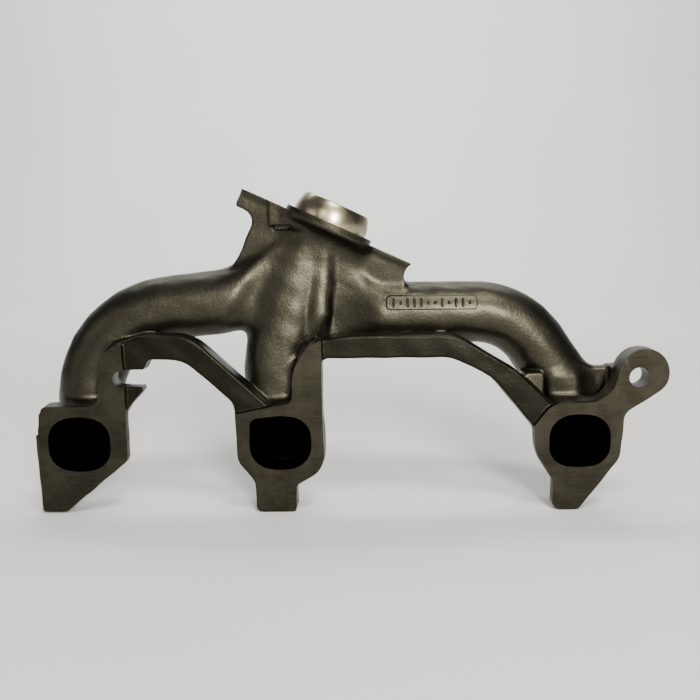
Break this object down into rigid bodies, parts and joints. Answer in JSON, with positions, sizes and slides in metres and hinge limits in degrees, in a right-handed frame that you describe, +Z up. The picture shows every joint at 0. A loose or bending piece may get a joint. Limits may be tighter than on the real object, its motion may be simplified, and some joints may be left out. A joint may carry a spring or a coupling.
{
  "type": "exhaust manifold",
  "caption": "Cast exhaust manifold: ported flanges on one face, curved runners into a collector, tilted two-eared outlet flange with a turned ball seat.",
  "frame": {"origin": "centre of the middle port's opening, on the machined face that meets the cylinder head", "axes": "+X along the engine towards the flange with the drilled ear, +Z up towards the outlet, -Y out of the machined face towards the cylinder head"},
  "size_m": [0.3534, 0.0578, 0.1802],
  "materials": {
    "cast_iron": "as cast, sand-blasted, with milled joint faces",
    "turned_seat": "turned"
  },
  "bodies": {
    "root": {"port_flange_1": "cast_iron", "port_flange_2": "cast_iron", "port_flange_3": "cast_iron", "mounting_ear": "cast_iron", "tie_bar_1": "cast_iron", "tie_bar_2": "cast_iron", "stud_slot_lug": "cast_iron", "port_neck_1": "cast_iron", "port_neck_2": "cast_iron", "port_neck_3": "cast_iron", "runner_1": "cast_iron", "runner_2": "cast_iron", "runner_3": "cast_iron", "collector": "cast_iron", "outlet_flange": "cast_iron", "outlet_ear_boss": "cast_iron", "outlet_web_left": "cast_iron", "outlet_web_right": "cast_iron", "ear_gusset": "cast_iron", "runner_3_lump": "cast_iron", "casting_mark_pad": "cast_iron", "outlet_seat": "turned_seat"}
  },
  "joints": []
}
